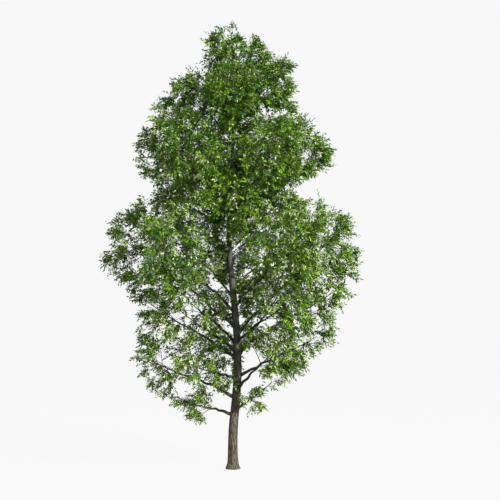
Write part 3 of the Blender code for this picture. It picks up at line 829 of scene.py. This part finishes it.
def grow_twigs(mass, branches, rng):
    """The lines and radii of the twigs that fork off a mass's branches."""
    count = round(space_of(mass, rng) / TWIG_ROOM * thickness(mass))
    sprays = spread_targets(mass, count, rng)
    outer = depths(sprays + unit(hang_at(sprays)) * SHELL).min(axis=-1) > 1
    sprays = sprays[in_crown(sprays) & (outer | (rng.uniform(size=count) < SHADED_TWIGS))]
    sprays = np.concatenate([sprays, outer_sprays(mass, rng), thickets(mass), waist_sprays(mass)])
    tips = sprays - unit(hang_at(sprays)) * SPRAY_AHEAD
    places = np.linspace(*TWIG_FEET)
    feet = np.concatenate([along(line, places) for line in branches])
    ahead = np.concatenate([heading(line, places, BRANCH_NEARBY) for line in branches])
    way = tips[:, None] - feet
    far = np.linalg.norm(way, axis=-1)
    turned = (way * ahead).sum(axis=-1) / np.maximum(far, NEARLY_NONE)
    best = (far * (TWIG_TURN - turned) + (far < TWIG_LEAST)).argmin(axis=1)
    foot = feet[best]
    length = np.linalg.norm(tips - foot, axis=1)[:, None]
    stray = rng.normal(size=foot.shape) * TWIG_STRAY * length
    lift = ahead[best] * length * TWIG_BEND + stray
    return bowed(foot, tips, lift, TWIG_POINTS), twig_radii(length)


def twig_radii(length):
    """The radii along twigs of some lengths."""
    foot = np.clip(TWIG_RADII[0] + TWIG_RADII[1] * length, *TWIG_LIMITS)
    return foot * np.linspace(1, TWIG_TAPER, TWIG_POINTS)


def grow_spurs(feet, ahead, lengths, rng):
    """The lines and radii of short twigs that stand slanting on a limb."""
    across = unit(np.cross(ahead, rng.normal(size=ahead.shape)))
    length = rng.uniform(*lengths, size=(len(feet), 1))
    turned = np.where((feet[:, 2] < SHELTERED) & (ahead[:, 2] > UPRIGHT), np.sign(across[:, 1]), 1)
    slant = unit(ahead * SPUR_AHEAD + across * turned[:, None] + (0, 0, SPUR_RISE))
    tips = feet + slant * length
    lift = rng.normal(size=feet.shape) * SPUR_STRAY * length
    kept = in_crown(tips)
    return bowed(feet, tips, lift, TWIG_POINTS)[kept], twig_radii(length)[kept]


def bough_spurs(mass, rng):
    """The short twigs along a bough, on its way to its mass."""
    line, _ = LIMBS[mass.name]
    count = round(SPURS * thickness(mass))
    places = np.linspace(*SPUR_FEET, count) + rng.uniform(-SPUR_SHIFT, SPUR_SHIFT, size=count)
    ahead = heading(line, places, LIMB_NEARBY)
    return grow_spurs(along(line, places), ahead, SPUR_LENGTHS, rng)


def trunk_spurs(rng):
    """The short twigs on the trunk in the thick of the crown."""
    feet = np.array([trunk_at(z)[0] for z in np.linspace(*TRUNK_TWIG_HEIGHTS, TRUNK_TWIGS)])
    return grow_spurs(feet, np.broadcast_to((0.0, 0.0, 1.0), feet.shape), TRUNK_TWIG_LENGTHS, rng)


def grow_shoots(lines, count, first, rng):
    """The lines of the shoots on some twigs, and which twig each stands on."""
    owner = np.repeat(np.arange(len(lines)), count)
    number = np.tile(np.arange(count), len(lines))
    place = first + (1 - first) * (number + 1) / count
    at = place * (lines.shape[1] - 1)
    k = np.minimum(at.astype(int), lines.shape[1] - 2)
    step = lines[owner, k + 1] - lines[owner, k]
    foot = lines[owner, k] + step * (at - k)[:, None]
    ahead = unit(step)
    across = unit(np.cross(ahead, rng.normal(size=ahead.shape)))
    slant = rng.uniform(*SHOOT_SLANT, size=(len(foot), 1))
    direction = unit(ahead * SHOOT_AHEAD + across * slant + hang_at(foot) * SHOOT_FALL)
    length = rng.uniform(*SHOOT_LENGTHS, size=(len(foot), 1))
    return np.stack([foot, foot + direction * length], axis=1), owner


def plain_bark(name, colour):
    """Smooth young bark: one colour, a little satin."""
    return start_finish(name, {"Base Color": linear(colour), "Roughness": 0.7})[0]


def gather(parts):
    """Joins the corners and triangles of several meshes."""
    starts = np.cumsum([0] + [len(corners) for corners, _ in parts])
    corners = np.concatenate([corners for corners, _ in parts])
    return corners, np.concatenate([triangles + k for (_, triangles), k in zip(parts, starts)])


shoots_of, twig_meshes = {}, []
for mass in MASSES:
    rng = np.random.default_rng(SEED * 100 + MASSES.index(mass))
    branches, branch_radii = grow_branches(mass, rng)
    twigs, radii = grow_twigs(mass, branches, rng)
    if mass.on_bough:
        spurs, spur_radii = bough_spurs(mass, rng)
        twigs, radii = np.concatenate([twigs, spurs]), np.concatenate([radii, spur_radii])
    twig_meshes += [tubes(branches, branch_radii, BRANCH_SIDES), tubes(twigs, radii, TWIG_SIDES)]
    shoots, owner = grow_shoots(twigs, SHOOTS, SHOOT_FIRST, rng)
    ends, ends_owner = grow_shoots(branches, BRANCH_SHOOTS, BRANCH_SHOOT_FIRST, rng)
    kept = in_crown(ends[:, 1], SHOOTS_OUTSIDE)
    ends, ends_owner = ends[kept], ends_owner[kept]
    owner = np.concatenate([owner, ends_owner + len(twigs)])
    shoots_of[mass.name] = np.concatenate([shoots, ends]), owner
rng = np.random.default_rng(SEED)
twigs, radii = trunk_spurs(rng)
twig_meshes.append(tubes(twigs, radii, TWIG_SIDES))
shoots_of["trunk"] = grow_shoots(twigs, SHOOTS, SHOOT_FIRST, rng)

shoot_mesh = spikes(np.concatenate([shoots for shoots, _ in shoots_of.values()]), SHOOT_RADIUS)
for name, parts, finish in (
    ("twigs", twig_meshes, plain_bark("smooth_twig_bark", TWIG_BARK)),
    ("shoots", [shoot_mesh], plain_bark("green_shoot_bark", SHOOT_BARK)),
):
    corners, triangles = gather(parts)
    piece = joined_piece(name, corners, triangles, [finish], np.zeros(len(triangles)))
    piece.data.polygons.foreach_set("use_smooth", np.ones(len(triangles), dtype=bool))
    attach(piece, "root")

# --- Leaves
# Poplar leaves, each a pointed blade folded a little along its rib, on a stalk that lets it hang.
# They stand round each shoot by the golden angle and lean the way it grows. A spray has one green,
# which some sprays of a twig share, from the yellow-green of new growth to a dull dark green. The
# spread is partly the leaves' own greens and partly painted light and shade: the paler ones stand
# in for sunlit leaves and glints, the darker ones for leaves in shade.
LEAVES = 7  # on each shoot
LEAF_LENGTH = 0.135
LEAF_OUTLINE = ((0.0, 0.0), (0.3, 0.23), (0.62, 0.18), (1.0, 0.0), (0.62, -0.18), (0.3, -0.23))
LEAF_FACES = ((0, 1, 2), (0, 2, 3), (0, 3, 4), (0, 4, 5))
LEAF_FOLD = 0.3  # how far the blade's sides rise from the rib
LEAF_DROOP = 0.25
LEAF_SPREAD = 0.95  # how far it leans out from its shoot
LAST_SPREAD = 0.15  # the same for the leaf at the shoot's tip
LEAF_STRAY = 0.3
LEAF_FACE = (0.5, 0.8)  # how far its face looks outward and up
LEAF_FLUTTER = 1.8
LEAF_SIZES = (0.75, 1.25)
LEAF_FEET = 0.1  # where the leaves start on a shoot
SHOOT_TURN = 1.7  # how far leaves turn from one shoot to the next
# painted light and shade among the greens: the paler ones stand in for sunlit leaves and glints,
# the darker ones for leaves in shade
LEAF_GREENS = {  # colour and share of the sprays, from light to dark
    "pale_leaf": ("#a9b98a", 2),
    "sunned_leaf": ("#84a63e", 2),
    "bright_leaf": ("#749a29", 3),
    "full_leaf": ("#628a21", 4),
    "dull_leaf": ("#587e34", 2),
    "summer_leaf": ("#527a1b", 4),
    "blue_leaf": ("#4d7442", 1),
    "deep_leaf": ("#39590d", 4),
}
SAME_GREEN = 0.3  # how likely a spray has the green of its twig
DEEPER = (  # at a height, how far the greens lean to the dark ones
    (4.0, 0.7), (8.0, 0.95), (12.5, 0.85), (18.0, 2.2),
)
LEAF_PIECES = {  # how the names of each piece's masses begin and end
    "leaves_top": (("top", "head"), ""),
    "leaves_trunk": ("trunk", ""),
    "leaves_shoulder_west": ("shoulder", "west"),
    "leaves_shoulder_east": ("shoulder", "east"),
    "leaves_neck": ("neck", ""),
    "leaves_wide_west": ("wide", "west"),
    "leaves_wide_east": ("wide", "east"),
    "leaves_low": ("low", ""),
    "leaves_skirt": (("skirt", "hem"), ""),
}


def leaf_green(name, colour):
    """A waxy green blade: a plain colour under a soft gloss."""
    return start_finish(name, {"Base Color": linear(colour), "Roughness": 0.3, "IOR": 1.42})[0]


def grow_leaves(shoots, rng):
    """Corners and triangles of the leaves of some shoots."""
    owner = np.repeat(np.arange(len(shoots)), LEAVES)
    number = np.tile(np.arange(LEAVES), len(shoots))
    step = (shoots[:, 1] - shoots[:, 0])[owner]
    place = LEAF_FEET + (1 - LEAF_FEET) * (number + 1) / LEAVES
    root = shoots[owner, 0] + step * place[:, None]
    ahead = unit(step)
    across = unit(np.cross(ahead, ASKEW))
    beside = np.cross(ahead, across)
    turns = (number * GOLDEN_ANGLE + owner * SHOOT_TURN)[:, None]
    around = across * np.cos(turns) + beside * np.sin(turns)
    spread = np.where(number == LEAVES - 1, LAST_SPREAD, LEAF_SPREAD)[:, None]
    stray = rng.normal(size=root.shape) * LEAF_STRAY
    direction = unit(ahead + around * spread + (0, 0, -LEAF_DROOP) + stray)
    face = np.array((0, 0, LEAF_FACE[1])) + outward_at(root) * LEAF_FACE[0]
    face = face + rng.normal(size=root.shape) * LEAF_FLUTTER
    face = unit(face - direction * (face * direction).sum(axis=1, keepdims=True))
    side = np.cross(direction, face)
    length = LEAF_LENGTH * rng.uniform(*LEAF_SIZES, size=(len(root), 1, 1))
    ahead_share, aside_share = np.array(LEAF_OUTLINE).T[:, None, :, None]
    raised = np.abs(aside_share) * LEAF_FOLD
    blade = direction[:, None] * ahead_share + side[:, None] * aside_share + face[:, None] * raised
    corners = root[:, None] + blade * length
    triangles = np.arange(len(root))[:, None, None] * len(LEAF_OUTLINE) + np.array(LEAF_FACES)
    return corners.reshape(-1, 3), triangles.reshape(-1, 3)


greens = [leaf_green(name, colour) for name, (colour, _) in LEAF_GREENS.items()]
dealt = np.cumsum([share for _, share in LEAF_GREENS.values()], dtype=float)
dealt /= dealt[-1]
for number, (name, (start, end)) in enumerate(LEAF_PIECES.items()):
    sources = [source for source in shoots_of if source.startswith(start) and source.endswith(end)]
    rng = np.random.default_rng(SEED * 1000 + number)
    parts, colouring = [], []
    for source in sources:
        shoots, owner = shoots_of[source]
        parts.append(grow_leaves(shoots, rng))
        of_twig = rng.uniform(size=owner.max() + 1)
        of_spray = rng.uniform(size=len(shoots))
        same = rng.uniform(size=len(shoots)) < SAME_GREEN
        lean = np.interp(shoots[:, 0, 2], *zip(*DEEPER))
        place = np.where(same, of_twig[owner], of_spray) ** (1 / lean)
        colouring.append(np.repeat(np.searchsorted(dealt, place), LEAVES * len(LEAF_FACES)))
    corners, triangles = gather(parts)
    leaves = joined_piece(name, corners, triangles, greens, np.concatenate(colouring))
    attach(leaves, "root")
    masses = [source for source in sources if source != "trunk"]
    if masses:
        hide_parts(*("foliage_" + mass for mass in masses))

# --- Floor, light and camera
# A pale floor that runs into the white around it, a high sun from the front and right with soft
# light from the sky, the ground and the north, and a long lens that looks down a little.
IMAGE_SIDE = 500  # in pixels
METRES_PER_PIXEL = 0.04464
BASE_AT = (232.7, 470.0)  # where the foot of the trunk stands in the image, in pixels
CAMERA_AWAY = 105.0
CAMERA_DOWN = math.radians(4.0)
SENSOR = 36.0
WHITE = (0.939, 0.939, 0.939, 1)  # of the sky and of the floor far off
FLOOR_RADIUS = 70.0
FLOOR_DOWN = 0.002  # how far it lies under the cut of the trunk
FLOOR_GREY = (0.8, 0.8, 0.8, 1)
FLOOR_FADE = (4.0, 30.0)  # distances between which its shade fades out
FLOOR_GLOW = 0.985  # how far it shines by itself near the tree, which softens shadows
WIDE_LAMP = 90  # lamps this wide in degrees, or wider, leave no glints

bpy.ops.object.select_all(action="DESELECT")
bpy.ops.mesh.primitive_circle_add(
    vertices=96, radius=FLOOR_RADIUS, fill_type="NGON", location=(0, 0, -FLOOR_DOWN)
)
floor = bpy.context.object
floor.name = "floor"
bpy.ops.object.transform_apply(location=True)
paper = bpy.data.materials.new("white_floor")
paper.use_nodes = True
paper_out = paper.node_tree.nodes["Material Output"]
paper_place = add_node(paper, "TexCoord", {})
paper_far = add_node(paper, "VectorMath", {0: paper_place.outputs["Object"]}, operation="LENGTH")
paper_fade = add_node(
    paper, "MapRange",
    {
        "Value": paper_far.outputs["Value"],
        "From Min": FLOOR_FADE[0], "From Max": FLOOR_FADE[1], "To Min": FLOOR_GLOW,
    },
)
paper_dull = add_node(paper, "BsdfDiffuse", {"Color": FLOOR_GREY})
paper_glow = add_node(paper, "Emission", {"Color": WHITE})
paper_mix = add_node(
    paper, "MixShader",
    {0: paper_fade.outputs[0], 1: paper_dull.outputs[0], 2: paper_glow.outputs[0]},
)
paper.node_tree.links.new(paper_mix.outputs[0], paper_out.inputs["Surface"])
floor.data.materials.append(paper)
floor.visible_diffuse = False
floor.visible_glossy = False

world = bpy.data.worlds.new("white_sky")
bpy.context.scene.world = world
world.use_nodes = True
sky = world.node_tree.nodes["Background"]
sky.inputs["Color"].default_value = WHITE
sky.inputs["Strength"].default_value = 1.0
world.cycles_visibility.diffuse = False
world.cycles_visibility.glossy = False


def shine(name, energy, spread, toward, colour):
    """A far lamp that shines from a direction, as wide in the sky as its spread in degrees."""
    bpy.ops.object.light_add(type="SUN")
    lamp = bpy.context.object
    lamp.name = name
    lamp.data.energy = energy
    lamp.data.angle = math.radians(spread)
    lamp.data.color = colour
    lamp.rotation_euler = Vector(toward).to_track_quat("Z", "Y").to_euler()
    lamp.visible_glossy = spread < WIDE_LAMP


shine("sun", 6.0, 0.6, (0.75, -0.62, 0.68), (1.0, 0.97, 0.88))
shine("sky", 2.05, 170, (0.0, -0.45, 1.0), (0.97, 0.99, 1.0))
shine("ground_bounce", 0.8, 170, (0.0, -0.3, -1.0), (1.0, 1.0, 0.96))
shine("north_fill", 1.5, 70, (-0.45, 0.8, 0.4), (1.0, 1.0, 0.9))

aim_east = (IMAGE_SIDE / 2 - BASE_AT[0]) * METRES_PER_PIXEL
aim_up = (BASE_AT[1] - IMAGE_SIDE / 2) * METRES_PER_PIXEL / math.cos(CAMERA_DOWN)
back = Vector((0, -math.cos(CAMERA_DOWN), math.sin(CAMERA_DOWN)))
bpy.ops.object.camera_add(location=Vector((aim_east, 0, aim_up)) + back * CAMERA_AWAY)
camera = bpy.context.object
camera.rotation_euler = back.to_track_quat("Z", "Y").to_euler()
camera.data.sensor_width = SENSOR
camera.data.lens = SENSOR * CAMERA_AWAY / (IMAGE_SIDE * METRES_PER_PIXEL)
camera.data.clip_end = 1000.0
bpy.context.scene.camera = camera
bpy.context.scene.view_settings.view_transform = "Standard"
